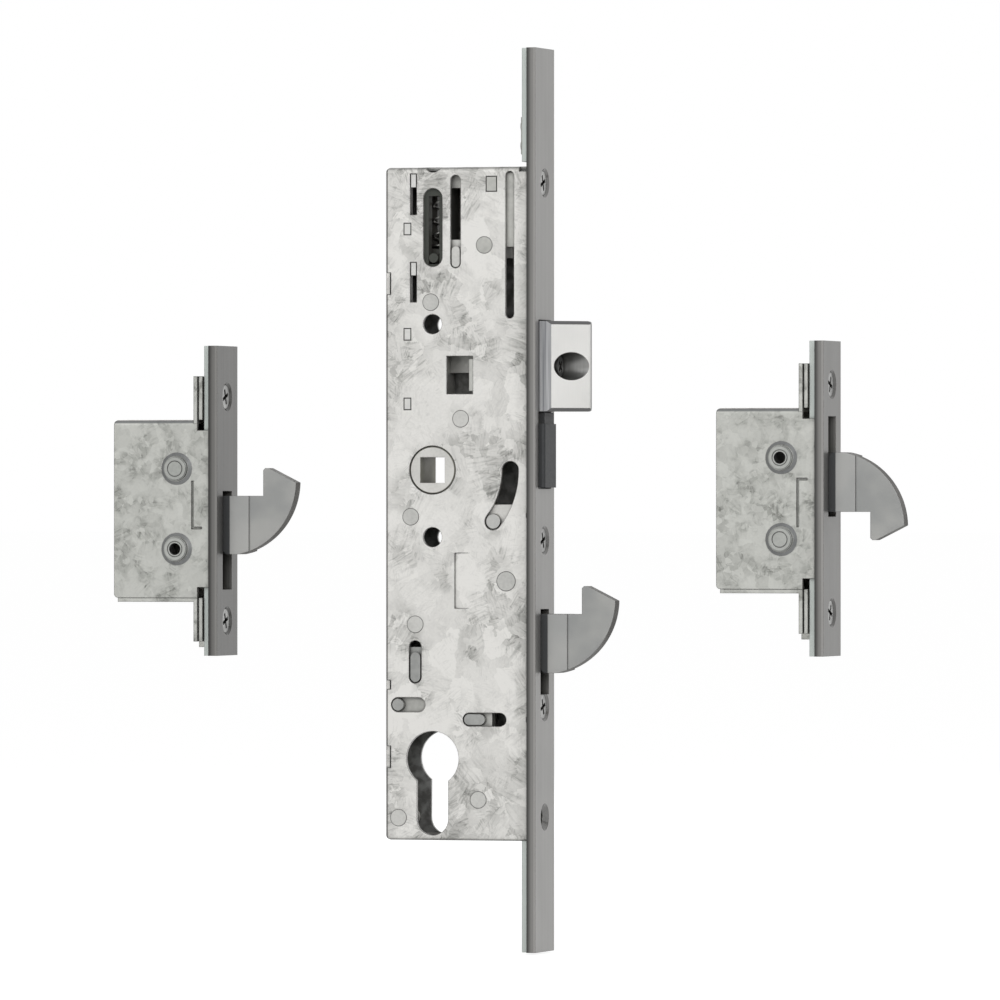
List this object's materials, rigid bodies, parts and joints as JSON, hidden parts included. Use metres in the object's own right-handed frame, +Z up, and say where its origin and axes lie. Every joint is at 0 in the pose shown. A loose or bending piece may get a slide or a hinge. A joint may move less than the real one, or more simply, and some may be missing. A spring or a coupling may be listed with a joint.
{
  "type": "multipoint door lock",
  "caption": "Multipoint door lock in three upright sections: a gearbox with latch, trigger and hook bolt, and a hook bolt case for above and below it.",
  "frame": {"origin": "on the handle spindle axis of the gearbox section, at the middle of its case thickness", "axes": "+X to the door edge (faceplate front), +Y through the door away from the cover, +Z up the door"},
  "size_m": [0.2624, 0.02, 0.2876],
  "materials": {
    "galvanised_case": "hot-dip galvanised sheet with a soft spangle",
    "boss_steel": "bright zinc-plated rivet",
    "faceplate_steel": "lengthwise brushed stainless steel",
    "screw_steel": "bright zinc-plated screw",
    "hub_cast": "plain die-cast zinc",
    "rail_zinc": "pale passivated zinc",
    "pin_steel": "ground steel",
    "slide_zinc": "zinc-plated pressed steel",
    "hook_steel": "satin nickel-plated steel",
    "latch_nickel": "satin nickel",
    "spring_steel": "spring wire",
    "dark_plastic": "moulded glass-filled plastic",
    "trigger_plastic": "slate grey moulded plastic"
  },
  "bodies": {
    "frame": {"centre_faceplate": "faceplate_steel", "centre_cover": "galvanised_case", "centre_backplate": "galvanised_case", "case_pillars": "galvanised_case", "rear_strip": "galvanised_case", "upper_guide_block": "galvanised_case", "latch_spring_seat": "slide_zinc", "centre_screws": "screw_steel", "centre_hook_pivot": "galvanised_case", "return_spring_housing": "dark_plastic", "return_spring": "spring_steel", "latch_spring": "spring_steel", "trigger_guide": "galvanised_case", "trigger_spring": "spring_steel", "top_faceplate": "faceplate_steel", "top_cover": "galvanised_case", "top_backplate": "galvanised_case", "top_hook_pivot": "boss_steel", "top_eyelet": "boss_steel", "top_screws": "screw_steel", "bottom_faceplate": "faceplate_steel", "bottom_cover": "galvanised_case", "bottom_backplate": "galvanised_case", "bottom_hook_pivot": "boss_steel", "bottom_eyelet": "boss_steel", "bottom_screws": "screw_steel"},
    "hub": {"spindle_hub": "hub_cast", "hub_drive_pin": "pin_steel"},
    "drive": {"drive_slide": "rail_zinc", "rail_rivets": "pin_steel", "slide_guide_pin": "pin_steel", "centre_hook_drive_pin": "pin_steel", "upper_rail": "rail_zinc", "lower_rail": "rail_zinc", "return_plunger": "dark_plastic"},
    "latch": {"latch_bolt": "latch_nickel", "latch_screw": "screw_steel", "latch_tail": "slide_zinc"},
    "centre_hook": {"centre_hook": "hook_steel"},
    "trigger": {"trigger": "trigger_plastic", "trigger_clip": "pin_steel"},
    "deadlock": {"deadlock_slide": "slide_zinc", "deadlock_pins": "slide_zinc"},
    "blocker": {"key_blocker": "slide_zinc"},
    "top_drive": {"top_rail": "rail_zinc", "top_drive_plate": "rail_zinc", "top_drive_pin": "pin_steel"},
    "top_hook": {"top_hook": "hook_steel"},
    "bottom_drive": {"bottom_rail": "rail_zinc", "bottom_drive_plate": "rail_zinc", "bottom_drive_pin": "pin_steel"},
    "bottom_hook": {"bottom_hook": "hook_steel"}
  },
  "joints": [
    {"name": "hub_turn", "type": "hinge", "parent": "frame", "child": "hub", "pos_m": [0, 0, 0], "axis": [0, -1, 0], "range_deg": [0, 39], "stiffness_Nm_per_rad": 0.8, "springref_deg": -28.65},
    {"name": "drive_lift", "type": "slide", "parent": "frame", "child": "drive", "axis": [0, 0, 1], "range_m": [0, 0.01805], "deforming": ["return_spring"]},
    {"name": "latch_draw", "type": "slide", "parent": "frame", "child": "latch", "axis": [-1, 0, 0], "range_m": [0, 0.01364], "deforming": ["latch_spring"]},
    {"name": "centre_hook_turn", "type": "hinge", "parent": "frame", "child": "centre_hook", "pos_m": [0.0246, 0, -0.0354], "axis": [0, 1, 0], "range_deg": [0, 66.05]},
    {"name": "top_rail_lift", "type": "slide", "parent": "frame", "child": "top_drive", "axis": [0, 0, 1], "range_m": [0, 0.01805]},
    {"name": "top_hook_turn", "type": "hinge", "parent": "frame", "child": "top_hook", "pos_m": [-0.0864, 0, 0.0005], "axis": [0, 1, 0], "range_deg": [0, 66.05]},
    {"name": "bottom_rail_drop", "type": "slide", "parent": "frame", "child": "bottom_drive", "axis": [0, 0, -1], "range_m": [0, 0.01805]},
    {"name": "bottom_hook_turn", "type": "hinge", "parent": "frame", "child": "bottom_hook", "pos_m": [0.1156, 0, -0.022], "axis": [0, -1, 0], "range_deg": [0, 66.05]},
    {"name": "trigger_push", "type": "slide", "parent": "frame", "child": "trigger", "axis": [-1, 0, 0], "range_m": [0, 0.002], "stiffness_N_per_m": 250, "springref_m": -0.004, "deforming": ["trigger_spring"]},
    {"name": "deadlock_throw", "type": "slide", "parent": "frame", "child": "deadlock", "axis": [1, 0, 0], "range_m": [0, 0.0067]},
    {"name": "blocker_lift", "type": "slide", "parent": "frame", "child": "blocker", "axis": [0, 0, 1], "range_m": [0, 0.00335]}
  ],
  "couplings": [
    {"joint": "drive_lift", "follows": "hub_turn", "m_per_rad": 0.026444},
    {"joint": "latch_draw", "follows": "hub_turn", "m_per_rad": 0.019971},
    {"joint": "centre_hook_turn", "follows": "hub_turn", "ratio": 1.6923},
    {"joint": "top_rail_lift", "follows": "hub_turn", "m_per_rad": 0.026444},
    {"joint": "top_hook_turn", "follows": "hub_turn", "ratio": 1.6923},
    {"joint": "bottom_rail_drop", "follows": "hub_turn", "m_per_rad": 0.026444},
    {"joint": "bottom_hook_turn", "follows": "hub_turn", "ratio": 1.6923},
    {"joint": "blocker_lift", "follows": "deadlock_throw", "ratio": 0.49254}
  ]
}
